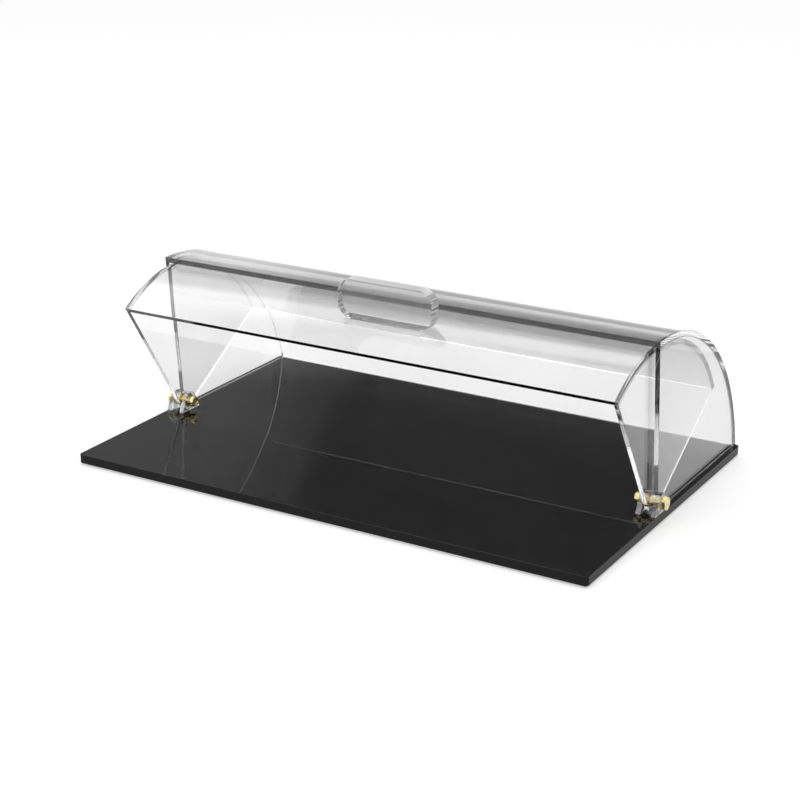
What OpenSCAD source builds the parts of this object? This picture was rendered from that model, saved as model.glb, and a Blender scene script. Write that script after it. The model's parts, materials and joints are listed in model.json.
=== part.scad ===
// Countertop bread display bin: a black base sheet, a fixed clear shell over its rear half
// and a clear quarter-round cover that swings up inside the shell on two hinge bolts.
// Millimetres, +Z up, +X to the right, and the front of the bin faces -Y.
// The origin lies on the surface the bin stands on, under the middle of the base.
// The model stands with its cover open, as it is shown for serving.

/* [Base] */
// Width of the base sheet, left to right
base_w = 600; // [420:5:800]
// Thickness of the base sheet
base_t = 10; // [8:0.5:15]
// Radius of the base sheet's upright corners
base_corner_r = 4; // [1:0.5:12]
// Depth of base left bare in front of the closed cover
front_margin = 8; // [2:1:40]

/* [Cover] */
// Outer radius of the cover, about its hinge
cover_r = 162.5; // [140:0.5:196]
// Thickness of the cover's curved sheet
cover_t = 5; // [3:0.5:8]
// Thickness of the cover's side panels
cover_side_t = 5; // [3:0.5:8]
// Angle from the closed cover to the cover as it stands here
open_angle = 58.5; // [0:0.5:70]
// Height of the closed cover's front edge above the base
closed_gap = 0.5; // [0.3:0.1:2]

/* [Shell] */
// How far the shell reaches behind the hinge, to the rear edge of the base
shell_run = 209.5; // [205:0.5:260]
// Thickness of the shell's curved sheet
shell_t = 6; // [4:0.5:8]
// Thickness of the shell's side panels
shell_side_t = 5; // [3:0.5:8]
// Gap between the cover's curved sheet and the shell, where they pass closest
shell_gap = 1.5; // [1:0.1:5]
// Angle that the shell's front edge leans forward from upright
shell_lean = 4.25; // [0:0.25:8]

/* [Handle] */
// Width of the handle
handle_w = 111; // [80:1:160]
// Height of the handle, from its foot to its top edge
handle_h = 43; // [30:1:60]
// Thickness of the handle
handle_t = 13; // [8:0.5:16]
// Radius of the handle's corners
handle_corner_r = 17; // [4:0.5:20]
// How far in front of the hinge the open cover's handle stands, at its middle
handle_forward = 49; // [42:1:70]
// How far right of the bin's middle the handle sits
handle_shift = 14; // [-60:1:60]

/* [Hinges] */
// Radius of the rounded ears that carry the hinge bolts
ear_r = 10; // [8:0.5:14]
// Thickness of the lugs on the base
lug_t = 5; // [4:0.5:8]
// Length of a lug's foot, front to back
lug_foot = 32; // [26:1:44]
// Radius of the bolt's shank
bolt_r = 4; // [2.5:0.5:5]
// Height of the bolt's hexagonal head
bolt_head_h = 5.3; // [3:0.1:8]
// Width of the bolt's hexagonal head across its flats
bolt_head_flats = 13; // [11:0.5:15]
// Radius of the round nut
nut_r = 6; // [5.5:0.25:8]
// Length of the round nut
nut_l = 6.5; // [4:0.5:10]
// Radius of the washers between the moving and the fixed ears
washer_r = 8; // [6.5:0.5:8]
// Thickness of the washers
washer_t = 0.8; // [0.5:0.1:2]
// Running gap between the cover's ear and each washer
washer_gap = 0.2; // [0.1:0.05:0.5]
// Radial clearance of the cover's bore on the bolt
running_gap = 0.05; // [0.02:0.01:0.1]

/* [Feet] */
// Height of the rubber feet
foot_h = 2; // [1:0.5:6]
// Radius of the rubber feet at the base sheet
foot_r = 6.5; // [4:0.5:12]
// Distance from the edges of the base to the middle of each foot
foot_inset = 24; // [14:1:60]

/* [Hidden] */
// Cement line left between two curved faces that are bonded
bond_gap = 0.05;
// Radial gap between the bolt and the fixed pieces on it
fixed_gap = 0.1;
// Chamfer on the nut's rims, and the depth at which the bolt ends inside it
nut_chamfer = 0.8;
bolt_recess = 1;
// Angle of the chamfer on the corners of the bolt's head
head_chamfer_angle = 30;
// Length that a cutting body reaches past what it cuts
over = 1;
// Smoothness of large and small round faces
large_fn = 180;
small_fn = 64;

base_top = foot_h + base_t;
base_d = front_margin + cover_r + shell_run;
hinge_y = front_margin + cover_r - base_d / 2;
hinge_z = base_top + ear_r + closed_gap;

// The shell's outer curve is level straight above the hinge and meets the base at its rear edge
shell_rise = hinge_z - base_top + cover_r + shell_gap + shell_t;
shell_r = (pow(shell_run, 2) + pow(shell_rise, 2)) / (2 * shell_rise);
shell_centre_z = base_top + shell_rise - shell_r;

// Faces across each hinge, from the base's side edge inwards
lug_outer_x = base_w / 2 - lug_t;
shell_side_x = lug_outer_x - shell_side_t;
washer_outer_x = shell_side_x - washer_t;
cover_half_w = washer_outer_x - washer_gap;
cover_side_x = cover_half_w - cover_side_t;
washer_inner_x = cover_side_x - washer_gap - washer_t;
lug_inner_x = washer_inner_x - lug_t;
nut_x = lug_inner_x - nut_l;

handle_foot_z = hinge_z + sqrt(pow(cover_r, 2) - pow(handle_forward + handle_t / 2, 2));

cover_color = [0.86, 0.89, 0.9, 0.35];
base_color = [0.06, 0.06, 0.065];
brass_color = [0.83, 0.68, 0.36];
rubber_color = [0.08, 0.08, 0.08];

// A profile drawn with y to the right and z up, made into a plate from x to x + t
module plate(x, t) {
    translate([x, 0, 0]) rotate([90, 0, 90]) linear_extrude(t) children();
}

// A round bar along X about the hinge, from x to x + t
module bar(x, t, r) {
    translate([x, hinge_y, hinge_z]) rotate([0, 90, 0]) cylinder(h = t, r = r, $fn = small_fn);
}

// Draws the right-hand piece for side 1 and its mirror image for side -1
module on_side(side) {
    if (side > 0) children();
    else mirror([1, 0, 0]) children();
}

module rounded_rectangle(w, h, r) {
    translate([-w / 2 + r, -h / 2]) square([w - 2 * r, h]);
    translate([-w / 2, -h / 2 + r]) square([w, h - 2 * r]);
    for (x = [-1, 1], y = [-1, 1])
        translate([x * (w / 2 - r), y * (h / 2 - r)]) circle(r, $fn = small_fn);
}

// The closed cover's quarter wedge about the hinge, its two edges set off by the ear's radius
// and its corner left free for the round ear
module cover_wedge() {
    difference() {
        translate([-2 * cover_r, -ear_r]) square([2 * cover_r + ear_r, 3 * cover_r]);
        translate([0, -2 * ear_r]) square([2 * ear_r, 2 * ear_r]);
    }
}

// Turns a profile about the hinge from the closed cover to the cover as it stands
module opened() {
    translate([hinge_y, hinge_z]) rotate(-open_angle) children();
}

module cover_panel_profile() {
    opened() difference() {
        union() {
            intersection() {
                circle(cover_r - cover_t - bond_gap, $fn = large_fn);
                cover_wedge();
            }
            circle(ear_r, $fn = small_fn);
        }
        circle(bolt_r + running_gap, $fn = small_fn);
    }
}

module cover_sheet_profile() {
    opened() intersection() {
        difference() {
            circle(cover_r, $fn = large_fn);
            circle(cover_r - cover_t, $fn = large_fn);
        }
        cover_wedge();
    }
}

// Everything behind the shell's leaning front edge and above the base
module shell_region() {
    intersection() {
        translate([hinge_y, hinge_z]) rotate(shell_lean)
            translate([0, -2 * shell_r]) square([2 * shell_r + shell_run, 4 * shell_r]);
        translate([hinge_y - shell_r, base_top]) square([2 * shell_r + shell_run, 2 * shell_r]);
    }
}

module shell_panel_profile() {
    difference() {
        union() {
            intersection() {
                translate([hinge_y, shell_centre_z])
                    circle(shell_r - shell_t - bond_gap, $fn = large_fn);
                shell_region();
            }
            translate([hinge_y, hinge_z]) circle(ear_r, $fn = small_fn);
            translate([hinge_y - ear_r, base_top]) square([2 * ear_r, hinge_z - base_top]);
        }
        translate([hinge_y, hinge_z]) circle(bolt_r + fixed_gap, $fn = small_fn);
    }
}

module shell_sheet_profile() {
    intersection() {
        translate([hinge_y, shell_centre_z]) difference() {
            circle(shell_r, $fn = large_fn);
            circle(shell_r - shell_t, $fn = large_fn);
        }
        shell_region();
    }
}

// A lug: a round ear on flanks that run straight out to its foot on the base
module lug_profile() {
    rise = hinge_z - base_top;
    half = lug_foot / 2;
    lean = acos(ear_r / norm([half, rise])) - atan2(rise, half);
    tangent = [ear_r * cos(lean), rise + ear_r * sin(lean)];
    translate([hinge_y, base_top]) difference() {
        union() {
            polygon([[-half, 0], [half, 0], tangent, [-tangent[0], tangent[1]]]);
            translate([0, rise]) circle(ear_r, $fn = small_fn);
        }
        translate([0, rise]) circle(bolt_r + fixed_gap, $fn = small_fn);
    }
}

module base_plate() {
    color(base_color) translate([0, 0, foot_h]) linear_extrude(base_t)
        rounded_rectangle(base_w, base_d, base_corner_r);
}

module foot(x_side, y_side) {
    color(rubber_color)
        translate([x_side * (base_w / 2 - foot_inset), y_side * (base_d / 2 - foot_inset), 0])
            cylinder(h = foot_h, r1 = foot_r - foot_h / 2, r2 = foot_r, $fn = small_fn);
}

module shell_sheet() {
    half = lug_outer_x;
    color(cover_color) plate(-half, 2 * half) shell_sheet_profile();
}

module shell_side(side) {
    color(cover_color) on_side(side) plate(shell_side_x, shell_side_t) shell_panel_profile();
}

module cover_sheet() {
    color(cover_color) plate(-cover_half_w, 2 * cover_half_w) cover_sheet_profile();
}

module cover_side(side) {
    color(cover_color) on_side(side) plate(cover_side_x, cover_side_t) cover_panel_profile();
}

// A thick rounded plate whose foot is cut to the cover's curve
module cover_handle() {
    color(cover_color) difference() {
        translate([handle_shift, hinge_y - handle_forward, handle_foot_z + handle_h / 2])
            rotate([90, 0, 0]) translate([0, 0, -handle_t / 2]) linear_extrude(handle_t)
                rounded_rectangle(handle_w, handle_h, handle_corner_r);
        translate([handle_shift, 0, 0]) bar_of(handle_w + 2 * over, cover_r + bond_gap);
    }
}

// A round bar along X about the hinge and centred on X, for cutting a foot to the cover
module bar_of(length, r) {
    translate([-length / 2, hinge_y, hinge_z]) rotate([0, 90, 0])
        cylinder(h = length, r = r, $fn = large_fn);
}

module lug_outer(side) {
    color(cover_color) on_side(side) plate(lug_outer_x, lug_t) lug_profile();
}

module lug_inner(side) {
    color(cover_color) on_side(side) plate(lug_inner_x, lug_t) lug_profile();
}

// A bolt put in from outside: a hexagonal head with chamfered corners and a plain shank
module hinge_bolt(side) {
    corner_r = bolt_head_flats / 2 / cos(30);
    chamfer_h = (corner_r - bolt_head_flats / 2 + fixed_gap) * tan(head_chamfer_angle);
    end_x = nut_x + bolt_recess;
    color(brass_color) on_side(side) {
        bar(end_x, base_w / 2 - end_x + over, bolt_r);
        translate([base_w / 2, hinge_y, hinge_z]) rotate([0, 90, 0]) intersection() {
            cylinder(h = bolt_head_h, r = corner_r, $fn = 6);
            union() {
                cylinder(h = bolt_head_h - chamfer_h, r = corner_r + over, $fn = small_fn);
                translate([0, 0, bolt_head_h - chamfer_h])
                    cylinder(h = chamfer_h, r1 = corner_r + fixed_gap,
                             r2 = bolt_head_flats / 2 - fixed_gap, $fn = small_fn);
            }
        }
    }
}

// A round nut with chamfered rims, on the inner face of the inner lug
module hinge_nut(side) {
    color(brass_color) on_side(side) difference() {
        translate([nut_x, hinge_y, hinge_z]) rotate([0, 90, 0]) {
            cylinder(h = nut_chamfer, r1 = nut_r - nut_chamfer, r2 = nut_r, $fn = small_fn);
            translate([0, 0, nut_chamfer])
                cylinder(h = nut_l - 2 * nut_chamfer, r = nut_r, $fn = small_fn);
            translate([0, 0, nut_l - nut_chamfer])
                cylinder(h = nut_chamfer, r1 = nut_r, r2 = nut_r - nut_chamfer, $fn = small_fn);
        }
        bar(nut_x - over, nut_l + 2 * over, bolt_r + fixed_gap);
    }
}

module washer(side, x) {
    color(brass_color) on_side(side) difference() {
        bar(x, washer_t, washer_r);
        bar(x - over, washer_t + 2 * over, bolt_r + fixed_gap);
    }
}

base_plate();
foot(-1, -1);  // foot_front_left
foot(1, -1);  // foot_front_right
foot(-1, 1);  // foot_rear_left
foot(1, 1);  // foot_rear_right
shell_sheet();
shell_side(-1);  // shell_side_left
shell_side(1);  // shell_side_right
cover_sheet();
cover_side(-1);  // cover_side_left
cover_side(1);  // cover_side_right
cover_handle();
lug_outer(-1);  // lug_outer_left
lug_outer(1);  // lug_outer_right
lug_inner(-1);  // lug_inner_left
lug_inner(1);  // lug_inner_right
hinge_bolt(-1);  // hinge_bolt_left
hinge_bolt(1);  // hinge_bolt_right
hinge_nut(-1);  // hinge_nut_left
hinge_nut(1);  // hinge_nut_right
washer(-1, washer_outer_x);  // washer_outer_left
washer(1, washer_outer_x);  // washer_outer_right
washer(-1, washer_inner_x);  // washer_inner_left
washer(1, washer_inner_x);  // washer_inner_right
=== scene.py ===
import json
import math

import bmesh
import bpy
from mathutils import Matrix, Vector
from mathutils.geometry import tessellate_polygon

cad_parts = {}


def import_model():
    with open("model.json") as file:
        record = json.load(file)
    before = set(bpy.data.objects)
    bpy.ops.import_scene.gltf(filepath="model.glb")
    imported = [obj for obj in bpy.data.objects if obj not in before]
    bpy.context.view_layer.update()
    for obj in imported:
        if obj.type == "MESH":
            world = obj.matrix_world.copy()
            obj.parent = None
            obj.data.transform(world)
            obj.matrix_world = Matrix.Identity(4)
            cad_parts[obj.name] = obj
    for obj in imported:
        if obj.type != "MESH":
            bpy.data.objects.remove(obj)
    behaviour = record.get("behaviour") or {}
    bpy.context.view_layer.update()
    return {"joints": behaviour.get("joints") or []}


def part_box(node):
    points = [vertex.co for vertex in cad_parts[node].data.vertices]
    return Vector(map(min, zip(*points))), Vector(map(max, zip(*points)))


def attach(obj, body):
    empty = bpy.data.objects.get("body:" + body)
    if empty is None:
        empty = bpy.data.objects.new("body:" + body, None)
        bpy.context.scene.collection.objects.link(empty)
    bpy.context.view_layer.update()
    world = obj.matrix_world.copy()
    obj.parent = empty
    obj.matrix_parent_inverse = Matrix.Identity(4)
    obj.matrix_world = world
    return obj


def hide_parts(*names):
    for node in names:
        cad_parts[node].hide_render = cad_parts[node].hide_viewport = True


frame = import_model()

# Sizes in metres. Places come from the frame.
MM = 0.001
COVER_R = 162.5 * MM
COVER_T = 5 * MM
SHELL_T = 6 * MM
SHELL_LEAN = math.radians(4.25)      # the shell's front edge leans forward by this
EAR_R = 10 * MM
LUG_FOOT = 32 * MM
BOLT_R = 4 * MM
BOLT_POINT = 0.5 * MM
BORE_R = 4.05 * MM
FIXED_BORE_R = 4.1 * MM
HEAD_H = 5.3 * MM
HEAD_FLATS = 13 * MM
HEAD_CONE = math.radians(30)
NUT_R = 6 * MM
NUT_CHAMFER = 0.8 * MM
NUT_BORE_CHAMFER = 0.3 * MM
WASHER_ARRIS = 0.15 * MM
BASE_CORNER_R = 4 * MM
BASE_ARRIS = 0.6 * MM
HANDLE_CORNER_R = 17 * MM
HANDLE_ARRIS = 0.5 * MM
ARRIS = 0.35 * MM        # width of the polished bevel on a clear sheet's edges
FILLET = 0.5 * MM        # radius on the corners of a clear sheet's outline
CEMENT = 0.02 * MM       # how far cemented faces run into each other, so that no air shows there
AIR = 0.03 * MM          # left between dry faces that touch, so that each keeps its own surface
RIM_MARGIN = 0.2 * MM    # the handle's rim starts this far off the cover

# A foot from its sole up: height, and how far the edge lies inside the full radius
FOOT_SOLE = ((0, 1.6 * MM), (0.25 * MM, 1.1 * MM), (0.6 * MM, 0.75 * MM))
FOOT_SHOULDER = 0.2 * MM
FOOT_SHOULDER_INSET = 0.1 * MM
FOOT_TOP_INSET = 0.3 * MM

# How finely curves are cut
ARC_STEP = math.radians(1.0)
EAR_STEP = math.radians(4)
BASE_CORNER_STEP = math.radians(6)
HANDLE_CORNER_STEP = math.radians(10)
BEVEL_STEPS = 3
FILLET_STEPS = 4
HANDLE_SLICES = 8
TURNED_SIDES = 64
BORE_SIDES = 72
HEAD_SIDES = 72          # a multiple of six, so that each corner of the head is a point of it

SHARP_CORNER = math.radians(25)      # an outline's corners are rounded from this turn on
FILLET_SHARE = 0.45                  # the most of a straight stretch that one round may take
MITRE_LEAST = 0.3                    # keeps a bevel short where an outline turns sharply
SAME_PLACE = 1e-6                    # points nearer than this count as one
ON_AXIS = 1e-7                       # a smaller radius is a point on the axis

pivot = frame["joints"][0]
HINGE_Y, HINGE_Z = pivot["pos_m"][1:]
OPEN = math.radians(pivot["range_deg"][1])
base_low, base_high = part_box("base_plate")
BASE_TOP = base_high.z - HINGE_Z     # heights in a profile are measured from the hinge
shell_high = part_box("shell_sheet")[1]
SHELL_RUN = shell_high.y - HINGE_Y
SHELL_RISE = shell_high.z - base_high.z
SHELL_R = (SHELL_RUN ** 2 + SHELL_RISE ** 2) / (2 * SHELL_RISE)
SHELL_CENTRE = BASE_TOP + SHELL_RISE - SHELL_R


# Outlines

def turned(point, angle):
    """A profile point turned about the hinge, from +Y towards +Z."""
    y, z = point
    c, s = math.cos(angle), math.sin(angle)
    return (y * c - z * s, y * s + z * c)


def arc(centre, radius, start, end, step=ARC_STEP):
    """Points on an arc from angle start to angle end, both included."""
    count = max(2, math.ceil(abs(end - start) / step))
    angles = [start + (end - start) * i / count for i in range(count + 1)]
    return [(centre[0] + radius * math.cos(a), centre[1] + radius * math.sin(a)) for a in angles]


def bore_circle(radius):
    """A circle about the hinge, run clockwise, so that it bounds a hole."""
    angles = [-2 * math.pi * i / BORE_SIDES for i in range(BORE_SIDES)]
    return [(radius * math.cos(a), radius * math.sin(a)) for a in angles]


def clean(outline):
    """The outline without points that repeat."""
    kept = []
    for p in outline:
        if not kept or math.dist(p, kept[-1]) > SAME_PLACE:
            kept.append(p)
    if math.dist(kept[0], kept[-1]) <= SAME_PLACE:
        kept.pop()
    return kept


def filleted(outline):
    """The outline with a small round on each sharp corner."""
    outline = clean(outline)
    made = []
    for i, p in enumerate(outline):
        here = Vector(p)
        back = Vector(outline[i - 1]) - here
        on = Vector(outline[(i + 1) % len(outline)]) - here
        turn = math.pi - back.angle(on)
        if turn < SHARP_CORNER:
            made.append(p)
            continue
        most = FILLET_SHARE * min(back.length, on.length)
        taken = min(FILLET * math.tan(turn / 2), most)
        first, last = here + back.normalized() * taken, here + on.normalized() * taken
        for k in range(FILLET_STEPS + 1):
            t = k / FILLET_STEPS
            made.append(tuple(first * (1 - t) ** 2 + here * 2 * t * (1 - t) + last * t ** 2))
    return clean(made)


def rounded_rectangle(low, high, radius, step):
    (x0, y0), (x1, y1) = low, high
    quarter = math.pi / 2
    points = arc((x1 - radius, y0 + radius), radius, -quarter, 0, step)
    points += arc((x1 - radius, y1 - radius), radius, 0, quarter, step)
    points += arc((x0 + radius, y1 - radius), radius, quarter, 2 * quarter, step)
    points += arc((x0 + radius, y0 + radius), radius, 2 * quarter, 3 * quarter, step)
    return clean(points)


def corners(outline):
    """For each point the outward normals of the two segments that meet there, and their lengths."""
    normals, lengths = [], []
    for i, p in enumerate(outline):
        d = Vector(outline[(i + 1) % len(outline)]) - Vector(p)
        lengths.append(d.length)
        normals.append(Vector((d.y, -d.x)).normalized())
    return [(normals[i - 1], normals[i], lengths[i - 1], lengths[i])
            for i in range(len(outline))]


def mitre(corner, inset):
    """How far a corner lies from its place on an outline that is smaller by inset all round."""
    n1, n2 = corner[:2]
    return (n1 + n2) / max(MITRE_LEAST, 1 + n1.dot(n2)) * inset


def rounding(bevel):
    """Steps from a flat face round to the rim: depth below the face, inset from the rim, angle."""
    angles = [math.pi / 2 * k / BEVEL_STEPS for k in range(BEVEL_STEPS + 1)]
    return [(bevel * (1 - math.cos(a)), bevel * (1 - math.sin(a)), a) for a in angles]


# Meshes

def linked(name, data):
    made = bpy.data.objects.new(name, data)
    bpy.context.scene.collection.objects.link(made)
    return made


def object_from(bm, name, sharp=math.radians(32)):
    """A mesh object, smooth but for edges that turn by more than sharp."""
    mesh = bpy.data.meshes.new(name)
    bm.to_mesh(mesh)
    bm.free()
    mesh.shade_smooth()
    mesh.set_sharp_from_angle(angle=sharp)
    return linked(name, mesh)


def with_normals(name, vertices, faces, face_normals, to_world):
    """A mesh object with smooth shading and the given corner normals."""
    origin = Vector(to_world(0, 0, 0))
    axes = [Vector(to_world(*e)) - origin for e in ((1, 0, 0), (0, 1, 0), (0, 0, 1))]
    mirrored = axes[0].cross(axes[1]).dot(axes[2]) < 0
    if mirrored:
        faces = [f[::-1] for f in faces]
        face_normals = [n[::-1] for n in face_normals]
    mesh = bpy.data.meshes.new(name)
    mesh.from_pydata([tuple(v) for v in vertices], [], faces)
    mesh.validate()
    mesh.update()
    mesh.shade_smooth()
    world = [axes[0] * n[0] + axes[1] * n[1] + axes[2] * n[2]
             for ns in face_normals for n in ns]
    mesh.normals_split_custom_set([tuple(w.normalized()) for w in world])
    return linked(name, mesh)


def cap_faces(loops, rings, side):
    """The faces of a plate's flat face, which side says is the far one, 1, or the near one, -1."""
    if len(rings) == 1:
        return [rings[0][::side]]
    order = [v for ring in rings for v in ring]
    points = [Vector((*p, 0)) for loop in loops for p in loop]
    faces = []
    for tri in tessellate_polygon([[Vector((*p, 0)) for p in loop] for loop in loops]):
        a, b, c = (points[t].xy for t in tri)
        face = [order[t] for t in tri]
        if (b - a).cross(c - a) * side < 0:
            face.reverse()
        faces.append(face)
    return faces


def plate(name, loops, start, end, bevel, to_world):
    """A flat plate from start to end. The first loop is its outline, run anticlockwise, and the
    others are holes, run clockwise. Its rims are rounded by bevel."""
    slices = [(start + depth, inset, a, -1) for depth, inset, a in rounding(bevel)]
    slices += [(end - depth, inset, a, 1) for depth, inset, a in rounding(bevel)[::-1]]
    vertices, faces, face_normals = [], [], []
    near_rings, far_rings = [], []
    for loop in loops:
        meets = corners(loop)
        count = len(loop)
        first = len(vertices)
        directions = []
        for at, inset, angle, side in slices:
            for p, corner in zip(loop, meets):
                shift = mitre(corner, inset)
                vertices.append(to_world(p[0] - shift.x, p[1] - shift.y, at))
                n1, n2, l1, l2 = corner
                n = (n1 * l1 + n2 * l2).normalized()
                directions.append((n.x * math.sin(angle), n.y * math.sin(angle),
                                   side * math.cos(angle)))
        for r in range(len(slices) - 1):
            for i in range(count):
                j = (i + 1) % count
                low, high = r * count, (r + 1) * count
                quad = [low + i, low + j, high + j, high + i]
                faces.append([first + q for q in quad])
                face_normals.append([directions[q] for q in quad])
        last = first + (len(slices) - 1) * count
        near_rings.append(list(range(first, first + count)))
        far_rings.append(list(range(last, last + count)))

    for rings, side in ((near_rings, -1), (far_rings, 1)):
        for face in cap_faces(loops, rings, side):
            faces.append(face)
            face_normals.append([(0, 0, side)] * len(face))
    return with_normals(name, vertices, faces, face_normals, to_world)


def bridged(bm, low, high):
    """The faces between two rings. A ring of one point is a tip."""
    made = []
    count = max(len(low), len(high))
    for i in range(count):
        j = (i + 1) % count
        if len(low) == 1:
            made.append(bm.faces.new((low[0], high[i], high[j])))
        elif len(high) == 1:
            made.append(bm.faces.new((low[i], low[j], high[0])))
        else:
            made.append(bm.faces.new((low[i], low[j], high[j], high[i])))
    return made


def lathe(name, profile, to_world):
    """A turned piece from a profile of (distance along the axis, radius). Where no radius is zero,
    the profile is a closed loop that is turned into a ring."""
    bm = bmesh.new()
    rings = []
    for along, radius in profile:
        if radius < ON_AXIS:
            rings.append([bm.verts.new(to_world(0, 0, along))])
            continue
        angles = [2 * math.pi * i / TURNED_SIDES for i in range(TURNED_SIDES)]
        rings.append([bm.verts.new(to_world(radius * math.cos(a), radius * math.sin(a), along))
                      for a in angles])
    for low, high in zip(rings, rings[1:]):
        bridged(bm, low, high)
    if len(rings[0]) > 1:
        bridged(bm, rings[-1], rings[0])
    bmesh.ops.recalc_face_normals(bm, faces=bm.faces)
    return object_from(bm, name)


def side_plane(side):
    """Profile y and z about the hinge, and a distance outwards along X, in the row frame."""
    def place(y, z, x):
        return (side * x, HINGE_Y + y, HINGE_Z + z)
    return place


def flat_on_floor(x, y, z):
    return (x, y, z)


def distances(node):
    """The least and the greatest distance from the bin's middle plane of a node on one side."""
    low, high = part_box(node)
    return sorted((abs(low.x), abs(high.x)))


# Node trees

def shader_tree(name, sockets):
    """A material, its node tree, and its shader with these sockets set."""
    material = bpy.data.materials.new(name)
    material.use_nodes = True
    tree = material.node_tree
    shader = tree.nodes["Principled BSDF"]
    for socket, value in sockets.items():
        shader.inputs[socket].default_value = value
    return material, tree, shader


def noise(tree, scale, detail=3.0, roughness=0.5, along=(1, 1, 1)):
    """Noise that is fixed to the piece. Below 1 in along, its grain is drawn out on that axis, and
    above 1 it is pressed together."""
    place = tree.nodes.new("ShaderNodeTexCoord")
    mapping = tree.nodes.new("ShaderNodeMapping")
    mapping.inputs["Scale"].default_value = along
    texture = tree.nodes.new("ShaderNodeTexNoise")
    texture.inputs["Scale"].default_value = scale
    texture.inputs["Detail"].default_value = detail
    texture.inputs["Roughness"].default_value = roughness
    tree.links.new(place.outputs["Object"], mapping.inputs["Vector"])
    tree.links.new(mapping.outputs["Vector"], texture.inputs["Vector"])
    return texture.outputs["Fac"]


def spread(tree, value, low=0, high=1, start=0.3, end=0.7):
    """Maps a value from start..end, where most noise lies, to low..high."""
    node = tree.nodes.new("ShaderNodeMapRange")
    node.inputs["From Min"].default_value = start
    node.inputs["From Max"].default_value = end
    node.inputs["To Min"].default_value = low
    node.inputs["To Max"].default_value = high
    tree.links.new(value, node.inputs["Value"])
    return node.outputs["Result"]


def worked_out(tree, operation, first, second):
    """A Math node on a value and a second value or a plain number."""
    node = tree.nodes.new("ShaderNodeMath")
    node.operation = operation
    tree.links.new(first, node.inputs[0])
    if isinstance(second, (int, float)):
        node.inputs[1].default_value = second
    else:
        tree.links.new(second, node.inputs[1])
    return node.outputs["Value"]


def axis_of(tree, vector, axis):
    split = tree.nodes.new("ShaderNodeSeparateXYZ")
    tree.links.new(vector, split.inputs["Vector"])
    return split.outputs[axis]


def tinted(tree, shader, value, tints):
    """The shader's colour, from the first tint to the second by value."""
    node = tree.nodes.new("ShaderNodeMix")
    node.data_type = "RGBA"
    node.inputs["A"].default_value = (*tints[0], 1)
    node.inputs["B"].default_value = (*tints[1], 1)
    tree.links.new(value, node.inputs["Factor"])
    tree.links.new(node.outputs["Result"], shader.inputs["Base Color"])


def roughened(tree, shader, value, low, high):
    tree.links.new(spread(tree, value, low, high), shader.inputs["Roughness"])


def bumped(tree, shader, height, strength, distance):
    node = tree.nodes.new("ShaderNodeBump")
    node.inputs["Strength"].default_value = strength
    node.inputs["Distance"].default_value = distance
    tree.links.new(height, node.inputs["Height"])
    tree.links.new(node.outputs["Normal"], shader.inputs["Normal"])


# Materials

ACRYLIC_IOR = 1.49

# The two colours that each material's noise runs between
CLEAR_TINTS = (0.85, 0.85, 0.853), (0.89, 0.89, 0.893)
# The handle's rim: its grey is a painted reflection in stripes on the upright ends, and its white
# is painted light on the faces that point up and down
SAWN_PAINTED_LIGHT_TINTS = (0.3, 0.3, 0.305), (0.98, 0.98, 0.985)
BLACK_TINTS = (0.012, 0.012, 0.0125), (0.016, 0.016, 0.0165)
BLACK_EDGE_TINTS = (0.013, 0.013, 0.0135), (0.017, 0.017, 0.0175)
BRASS_TINTS = (0.68, 0.54, 0.22), (0.90, 0.79, 0.44)
RUBBER_TINTS = (0.02, 0.02, 0.021), (0.035, 0.035, 0.036)
FLOOR_TINTS = (0.9, 0.9, 0.9), (0.92, 0.92, 0.92)


def clear_acrylic():
    material, tree, shader = shader_tree("clear_acrylic", {
        "Transmission Weight": 1, "IOR": ACRYLIC_IOR, "Roughness": 0})
    tinted(tree, shader, spread(tree, noise(tree, scale=9, detail=2)), CLEAR_TINTS)
    return material


def sawn_acrylic_painted_light():
    """The handle's rim: cut, not polished, with the cutter's marks in its roughness and bumps. Its
    colour is painted light. Grey and white stripes across its upright ends are a painted reflection
    of light running inside the sheet. The faces that point up and down are painted white, the lower
    ones too, though they lie in shade."""
    material, tree, shader = shader_tree("clear_acrylic_sawn_painted_light", {
        "Transmission Weight": 0.12, "IOR": ACRYLIC_IOR})
    # The cutter's marks, as roughness and bumps. The same noise lays out the painted reflection
    # stripes below.
    marks = noise(tree, scale=600, detail=1, along=(0.02, 0.02, 1))
    geometry = tree.nodes.new("ShaderNodeNewGeometry")
    # Painted light: the faces that point up and down take the white by their facing, the lower ones
    # too, though they lie in shade
    facing = axis_of(tree, geometry.outputs["Normal"], "Z")
    level = worked_out(tree, "MULTIPLY", facing, facing)
    # Painted reflection: stripes of grey and white across the upright ends stand in for light
    # reflected inside the sheet
    painted_reflection_stripes = spread(tree, marks, start=0.44, end=0.54)
    tinted(tree, shader, worked_out(tree, "MAXIMUM", painted_reflection_stripes, level), SAWN_PAINTED_LIGHT_TINTS)
    roughened(tree, shader, marks, 0.08, 0.2)
    bumped(tree, shader, marks, strength=0.5, distance=0.6 * MM)
    return material


def black_acrylic():
    material, tree, shader = shader_tree("black_acrylic", {
        "IOR": ACRYLIC_IOR, "Specular IOR Level": 0.28})
    tinted(tree, shader, spread(tree, noise(tree, scale=14, detail=4)), BLACK_TINTS)
    wiped = noise(tree, scale=60, detail=5, roughness=0.6, along=(0.25, 1, 1))
    roughened(tree, shader, wiped, 0.005, 0.025)
    return material


def black_acrylic_edge():
    """The base's edges: cut and lightly polished, so they mirror less than its top."""
    material, tree, shader = shader_tree("black_acrylic_edge", {
        "IOR": ACRYLIC_IOR, "Specular IOR Level": 0.1})
    marks = noise(tree, scale=900, along=(1, 1, 0.1))
    tinted(tree, shader, spread(tree, marks), BLACK_EDGE_TINTS)
    roughened(tree, shader, marks, 0.08, 0.16)
    return material


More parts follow.
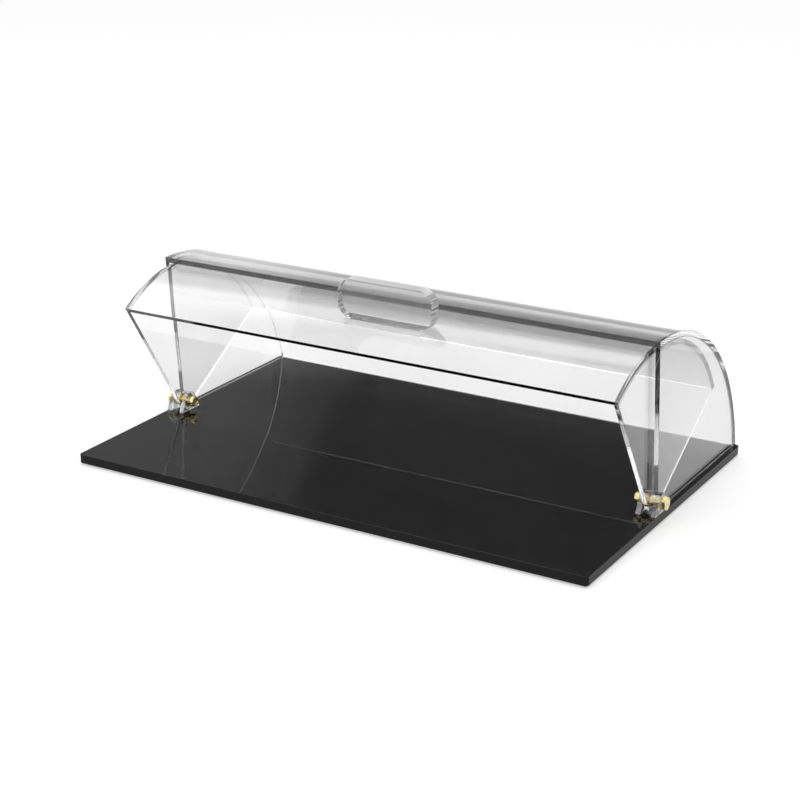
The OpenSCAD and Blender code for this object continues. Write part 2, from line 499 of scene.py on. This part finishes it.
def brass():
    material, tree, shader = shader_tree("brass", {"Metallic": 1})
    tinted(tree, shader, spread(tree, noise(tree, scale=180, detail=4)), BRASS_TINTS)
    turning = noise(tree, scale=700, along=(6, 1, 1))
    roughened(tree, shader, turning, 0.05, 0.13)
    bumped(tree, shader, turning, strength=0.08, distance=0.2 * MM)
    return material


def rubber():
    material, tree, shader = shader_tree("rubber", {})
    grain = noise(tree, scale=1500, detail=4)
    tinted(tree, shader, spread(tree, grain), RUBBER_TINTS)
    roughened(tree, shader, grain, 0.6, 0.85)
    bumped(tree, shader, grain, strength=0.3, distance=0.3 * MM)
    return material


MATERIALS = {"clear_acrylic": clear_acrylic(), "black_acrylic": black_acrylic(),
             "brass": brass(), "rubber": rubber()}
RIMS = {"black_acrylic": black_acrylic_edge(), "clear_acrylic": sawn_acrylic_painted_light()}


def stands_for(piece, node, body, slot):
    """Puts the piece in the node's place, with its slot's materials."""
    piece.data.materials.append(MATERIALS[slot])
    if any(face.material_index for face in piece.data.polygons):
        piece.data.materials.append(RIMS[slot])
    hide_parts(node)
    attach(piece, body)


# Profiles about the hinge

def cover_ends(radius):
    """Angles of the closed cover at which a circle meets its two straight edges."""
    return math.acos(EAR_R / radius), math.pi + math.asin(EAR_R / radius)


def opened(points):
    """The closed cover's outline, turned up to where the cover is stored."""
    return filleted([turned(p, -OPEN) for p in points])


def cover_panel_outline():
    inner = COVER_R - COVER_T + CEMENT
    points = [(0, -EAR_R)]
    points += arc((0, 0), EAR_R, -math.pi / 2, 0, EAR_STEP)[1:]
    points += arc((0, 0), inner, *cover_ends(inner))
    return opened(points)


def cover_sheet_outline():
    inner = COVER_R - COVER_T
    points = arc((0, 0), COVER_R, *cover_ends(COVER_R))
    points += arc((0, 0), inner, *cover_ends(inner)[::-1])
    return opened(points)


def shell_ends(radius):
    """Angles about the shell's centre at which a circle meets the base and the front edge."""
    low = math.asin((BASE_TOP - SHELL_CENTRE) / radius)
    # The front edge leans and runs through the hinge, SHELL_CENTRE below the circle's centre
    across = SHELL_CENTRE * math.sin(SHELL_LEAN)
    high = math.pi / 2 + SHELL_LEAN + math.asin(across / radius)
    return low, high


def standing(points, lift):
    """The outline with nothing of it below lift."""
    return filleted([(y, max(z, lift)) for y, z in points])


def shell_panel_outline():
    inner = SHELL_R - SHELL_T - AIR
    lift = BASE_TOP - CEMENT
    points = arc((0, SHELL_CENTRE), inner, *shell_ends(inner))
    points += arc((0, 0), EAR_R, math.pi / 2 + SHELL_LEAN, math.pi, EAR_STEP)
    points += [(-EAR_R, lift)]
    return standing(points, lift)


def shell_sheet_outline():
    inner = SHELL_R - SHELL_T
    points = arc((0, SHELL_CENTRE), SHELL_R, *shell_ends(SHELL_R))
    points += arc((0, SHELL_CENTRE), inner, *shell_ends(inner)[::-1])
    return standing(points, BASE_TOP + AIR)


def lug_outline():
    rise, half = -BASE_TOP, LUG_FOOT / 2
    lean = math.acos(EAR_R / math.hypot(half, rise)) - math.atan2(rise, half)
    foot = BASE_TOP + AIR
    points = [(-half, foot), (half, foot)]
    points += arc((0, 0), EAR_R, lean, math.pi - lean, EAR_STEP)
    return filleted(points)


# The base and its feet

base_outline = rounded_rectangle(base_low.xy, base_high.xy, BASE_CORNER_R, BASE_CORNER_STEP)
base = plate("base_sheet", [base_outline], base_low.z, base_high.z, BASE_ARRIS, flat_on_floor)
for face in base.data.polygons:
    face.material_index = int(abs(face.normal.z) < 0.5)      # 1 on the edges, which are cut
stands_for(base, "base_plate", "bin", "black_acrylic")

for node in ("foot_front_left", "foot_front_right", "foot_rear_left", "foot_rear_right"):
    low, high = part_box(node)
    middle = (low + high) / 2
    r, h = (high.x - low.x) / 2, high.z - low.z
    profile = [(0, 0)] + [(z, r - inset) for z, inset in FOOT_SOLE]
    profile += [(h - FOOT_SHOULDER, r - FOOT_SHOULDER_INSET), (h, r - FOOT_TOP_INSET), (h, 0)]
    pad = lathe(node + "_pad", profile, lambda x, y, z, m=middle: (m.x + x, m.y + y, z))
    stands_for(pad, node, "bin", "rubber")


# The clear sheets and panels

for node, body, outline in (("shell_sheet", "bin", shell_sheet_outline()),
                            ("cover_sheet", "cover", cover_sheet_outline())):
    low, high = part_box(node)
    sheet = plate(node + "_clear", [outline], low.x + AIR, high.x - AIR, ARRIS, side_plane(1))
    stands_for(sheet, node, body, "clear_acrylic")

for word, side in (("left", -1), ("right", 1)):
    for node, body, outline, bore in (("shell_side_", "bin", shell_panel_outline(), FIXED_BORE_R),
                                      ("cover_side_", "cover", cover_panel_outline(), BORE_R),
                                      ("lug_outer_", "bin", lug_outline(), FIXED_BORE_R),
                                      ("lug_inner_", "bin", lug_outline(), FIXED_BORE_R)):
        # The outer lug is cemented to the shell's side, and the other flat faces are dry
        near, far = distances(node + word)
        start = near - CEMENT if node == "lug_outer_" else near + AIR
        end = far if node == "shell_side_" else far - AIR
        panel = plate(node + word + "_clear", [outline, bore_circle(bore)], start, end, ARRIS,
                      side_plane(side))
        stands_for(panel, node + word, body, "clear_acrylic")


# The handle

def handle_piece():
    """A thick rounded plate, its foot cut to the cover's curve. Its rim has the second material."""
    low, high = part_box("cover_handle")
    cut = COVER_R + AIR
    outline = rounded_rectangle((low.x, low.z), (high.x, high.z),
                                HANDLE_CORNER_R, HANDLE_CORNER_STEP)

    def place(x, z, y):
        foot = HINGE_Z + math.sqrt(cut ** 2 - (y - HINGE_Y) ** 2)
        return (x, y, max(z, foot))

    slices = [(low.y + depth, inset) for depth, inset, angle in rounding(HANDLE_ARRIS)]
    slices += [(low.y + (high.y - low.y) * k / HANDLE_SLICES, 0) for k in range(1, HANDLE_SLICES)]
    slices += [(high.y - depth, inset) for depth, inset, angle in rounding(HANDLE_ARRIS)[::-1]]
    bm = bmesh.new()
    meets = corners(outline)
    rings = []
    for y, inset in slices:
        shifts = [mitre(corner, inset) for corner in meets]
        rings.append([bm.verts.new(place(p[0] - s.x, p[1] - s.y, y))
                      for p, s in zip(outline, shifts)])
    for near, far in zip(rings, rings[1:]):
        for face in bridged(bm, near, far):
            middle = face.calc_center_median()
            over_foot = math.hypot(middle.y - HINGE_Y, middle.z - HINGE_Z) - cut
            face.material_index = int(over_foot > RIM_MARGIN)
    bm.faces.new(rings[0])
    bm.faces.new(rings[-1][::-1])
    bmesh.ops.remove_doubles(bm, verts=bm.verts, dist=SAME_PLACE)
    bmesh.ops.dissolve_degenerate(bm, edges=bm.edges, dist=SAME_PLACE)
    bmesh.ops.recalc_face_normals(bm, faces=bm.faces)
    return object_from(bm, "cover_handle_clear", sharp=math.radians(8))


stands_for(handle_piece(), "cover_handle", "cover", "clear_acrylic")


# Hinge fittings

def bolt_head(name, to_world, start):
    """The six-sided head from start outwards, its corners turned down by a cone."""
    edge, crown_edge = 0.2 * MM, 0.1 * MM
    apothem = HEAD_FLATS / 2
    crown = apothem - 0.15 * MM
    bm = bmesh.new()
    rings = [[], [], [], []]
    for i in range(HEAD_SIDES):
        a = 2 * math.pi * i / HEAD_SIDES
        in_sector = (a + math.pi / 6) % (math.pi / 3) - math.pi / 6
        flat_r = apothem / math.cos(in_sector)
        top = start + HEAD_H - max(0, flat_r - crown) * math.tan(HEAD_CONE)
        for ring, r, x in zip(rings, (flat_r - edge, flat_r, flat_r, crown - crown_edge),
                              (start, start + edge, top, start + HEAD_H)):
            ring.append(bm.verts.new(to_world(r * math.cos(a), r * math.sin(a), x)))
    for low, high in zip(rings, rings[1:]):
        bridged(bm, low, high)
    bm.faces.new(rings[0][::-1])
    bm.faces.new(rings[-1])
    bmesh.ops.recalc_face_normals(bm, faces=bm.faces)
    return object_from(bm, name, sharp=math.radians(20))


for word, side in (("left", -1), ("right", 1)):
    to_world = side_plane(side)
    bolt = "hinge_bolt_" + word
    near, far = distances(bolt)
    under_head = far - HEAD_H
    stands_for(bolt_head(bolt + "_head", to_world, under_head), bolt, "bin", "brass")
    shank = lathe(bolt + "_shank",
                  [(near, 0), (near, BOLT_R - BOLT_POINT), (near + BOLT_POINT, BOLT_R),
                   (under_head, BOLT_R), (under_head, 0)], to_world)
    stands_for(shank, bolt, "bin", "brass")

    nut = "hinge_nut_" + word
    near, far = distances(nut)
    rim = NUT_R - NUT_CHAMFER
    turned_nut = lathe(nut + "_round",
                       [(near, FIXED_BORE_R + NUT_BORE_CHAMFER), (near, rim),
                        (near + NUT_CHAMFER, NUT_R), (far - NUT_CHAMFER, NUT_R),
                        (far - AIR, rim), (far - AIR, FIXED_BORE_R),
                        (near + NUT_BORE_CHAMFER, FIXED_BORE_R)], to_world)
    stands_for(turned_nut, nut, "bin", "brass")

    for washer in ("washer_outer_" + word, "washer_inner_" + word):
        low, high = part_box(washer)
        near, far = distances(washer)
        radius = (high.z - low.z) / 2
        ring = lathe(washer + "_ring",
                     [(near + AIR, FIXED_BORE_R), (near + AIR, radius - WASHER_ARRIS),
                      (near + WASHER_ARRIS, radius), (far - WASHER_ARRIS, radius),
                      (far - AIR, radius - WASHER_ARRIS), (far - AIR, FIXED_BORE_R)], to_world)
        stands_for(ring, washer, "bin", "brass")


# Floor, backdrop, lamps and camera

FLOOR_HALF = 12
FLOOR_GLOW = 0.45                    # brings the floor to white, on top of what the lamps give it
WORLD_LIGHT = 0.55                   # what the world gives the object
WORLD_SEEN = 1.0                     # the white that a view, a mirror or a clear sheet sees

# The card is part of a dome. Its columns are degrees from straight behind towards the left, and its
# rows are degrees over the floor.
CARD_RADIUS = 4.0
CARD_COLUMNS = range(-30, 111, 5)
CARD_ROWS = range(0, 59, 2)
CARD_FOOT = 0.1                      # its lowest row is lifted off the floor by this
CARD_LEFT, CARD_RIGHT = 0.42, 0.17   # the card's grey on its left and on its right
CARD_CHANGE = -2.4, -2.1             # between these the one grey runs into the other
CARD_BRIGHTEST = 2.5
# Degrees over the floor, and what the card glows there on top of its grey. The bright band stands
# for a softbox, and the part without a glow is what the base mirrors in the photo's view.
CARD_GLOW = ((0, 0.25), (8, 0.25), (14, 0.5), (17, 0.5), (18.7, 0), (27, 0), (33, 0.3), (41, 0.65),
             (45, 2.2), (52, 2.2), (57, 0.7))

# The camera that was fitted to the photo's edges
CAMERA_PLACE = (0.94242, -1.59440, 0.75256)
CAMERA_YAW, CAMERA_PITCH, CAMERA_ROLL = (math.radians(a) for a in (30.929, -20.268, -0.245))
CAMERA_LENS, CAMERA_SENSOR = 83.548, 36

# Light that has run along inside a clear sheet ends after this many bounces, which sets how dark
# the edges of the sheets look
BOUNCES = 28


def seen(tree):
    """1 for rays from the camera, a mirror or a clear sheet, else 0."""
    path = tree.nodes.new("ShaderNodeLightPath")
    most = path.outputs["Is Camera Ray"]
    for name in ("Is Glossy Ray", "Is Transmission Ray"):
        most = worked_out(tree, "MAXIMUM", most, path.outputs[name])
    return most


def studio_floor():
    bm = bmesh.new()
    ends = [(-FLOOR_HALF, -FLOOR_HALF), (FLOOR_HALF, -FLOOR_HALF),
            (FLOOR_HALF, FLOOR_HALF), (-FLOOR_HALF, FLOOR_HALF)]
    bm.faces.new([bm.verts.new((x, y, 0)) for x, y in ends])
    floor = object_from(bm, "floor")
    material, tree, shader = shader_tree("floor", {
        "Roughness": 1, "Specular IOR Level": 0, "Emission Color": (1, 1, 1, 1)})
    tinted(tree, shader, noise(tree, scale=2), FLOOR_TINTS)
    glow = worked_out(tree, "MULTIPLY", seen(tree), FLOOR_GLOW)
    tree.links.new(glow, shader.inputs["Emission Strength"])
    floor.data.materials.append(material)


def world():
    made = bpy.data.worlds.new("studio")
    bpy.context.scene.world = made
    made.use_nodes = True
    tree = made.node_tree
    back = tree.nodes["Background"]
    back.inputs["Color"].default_value = (1, 1, 1, 1)
    strength = spread(tree, seen(tree), WORLD_LIGHT, WORLD_SEEN, start=0, end=1)
    tree.links.new(strength, back.inputs["Strength"])


def glow_by_height(tree, height):
    """The card's glow that comes on top of its grey, by its height over the floor."""
    whole = spread(tree, height, start=0, end=CARD_RADIUS)
    ramp = tree.nodes.new("ShaderNodeValToRGB")
    stops = ramp.color_ramp.elements
    while len(stops) < len(CARD_GLOW):
        stops.new(0.5)
    # The places come first, because a stop that moves past another changes its number
    for stop, (elevation, glow) in zip(stops, CARD_GLOW):
        stop.position = math.sin(math.radians(elevation))
    for stop, (elevation, glow) in zip(stops, CARD_GLOW):
        stop.color = (glow / CARD_BRIGHTEST,) * 3 + (1,)
    tree.links.new(whole, ramp.inputs["Fac"])
    return worked_out(tree, "MULTIPLY", ramp.outputs["Color"], CARD_BRIGHTEST)


def dark_card():
    """A grey card behind the bin, lighter to the left. Only mirrored rays see it."""
    bm = bmesh.new()
    columns = [math.radians(a) for a in CARD_COLUMNS]
    rows = [math.radians(max(e, CARD_FOOT)) for e in CARD_ROWS]
    grid = [[bm.verts.new((-CARD_RADIUS * math.sin(a) * math.cos(e),
                           CARD_RADIUS * math.cos(a) * math.cos(e),
                           CARD_RADIUS * math.sin(e))) for a in columns] for e in rows]
    for low, high in zip(grid, grid[1:]):
        for i in range(len(columns) - 1):
            bm.faces.new((low[i], low[i + 1], high[i + 1], high[i]))
    card = object_from(bm, "dark_card")
    material, tree, shader = shader_tree("dark_card", {
        "Base Color": (0, 0, 0, 1), "Specular IOR Level": 0, "Emission Color": (1, 1, 1, 1)})
    place = tree.nodes.new("ShaderNodeTexCoord").outputs["Object"]
    left_edge, right_edge = CARD_CHANGE
    grey = spread(tree, axis_of(tree, place, "X"), CARD_LEFT, CARD_RIGHT, left_edge, right_edge)
    glow = worked_out(tree, "ADD", grey, glow_by_height(tree, axis_of(tree, place, "Z")))
    tree.links.new(glow, shader.inputs["Emission Strength"])
    path = tree.nodes.new("ShaderNodeLightPath")
    mirrored = worked_out(tree, "GREATER_THAN", path.outputs["Glossy Depth"], 0.5)
    tree.links.new(mirrored, shader.inputs["Alpha"])
    card.data.materials.append(material)
    card.visible_camera = False
    card.visible_diffuse = False
    card.visible_shadow = False


def lamp(name, place, target, width, height, radiance):
    data = bpy.data.lights.new(name, "AREA")
    data.shape = "RECTANGLE"
    data.size, data.size_y = width, height
    data.energy = radiance * math.pi * width * height
    made = linked(name, data)
    made.location = place
    made.rotation_euler = (Vector(target) - Vector(place)).to_track_quat("-Z", "Y").to_euler()


def camera():
    data = bpy.data.cameras.new("camera")
    data.sensor_width = CAMERA_SENSOR
    data.lens = CAMERA_LENS
    made = linked("camera", data)
    yaw, pitch, roll = CAMERA_YAW, CAMERA_PITCH, CAMERA_ROLL
    ahead = Vector((-math.sin(yaw) * math.cos(pitch), math.cos(yaw) * math.cos(pitch),
                    math.sin(pitch)))
    level = Vector((math.cos(yaw), math.sin(yaw), 0))
    upright = level.cross(ahead)
    right = level * math.cos(roll) + upright * math.sin(roll)
    up = upright * math.cos(roll) - level * math.sin(roll)
    turn = Matrix((right, up, -ahead)).transposed()
    made.matrix_world = Matrix.Translation(CAMERA_PLACE) @ turn.to_4x4()
    bpy.context.scene.camera = made


studio_floor()
world()
dark_card()
lamp("overhead", place=(0, 0.1, 2.2), target=(0, 0, 0), width=2.4, height=1.8, radiance=0.9)
lamp("front_left", place=(-2.0, -2.2, 1.8), target=(0, 0, 0.1), width=1.6, height=1.6, radiance=0.8)
camera()

scene = bpy.context.scene
scene.view_settings.view_transform = "Standard"
scene.cycles.max_bounces = BOUNCES
scene.cycles.transmission_bounces = BOUNCES
scene.cycles.glossy_bounces = BOUNCES
scene.cycles.transparent_max_bounces = BOUNCES
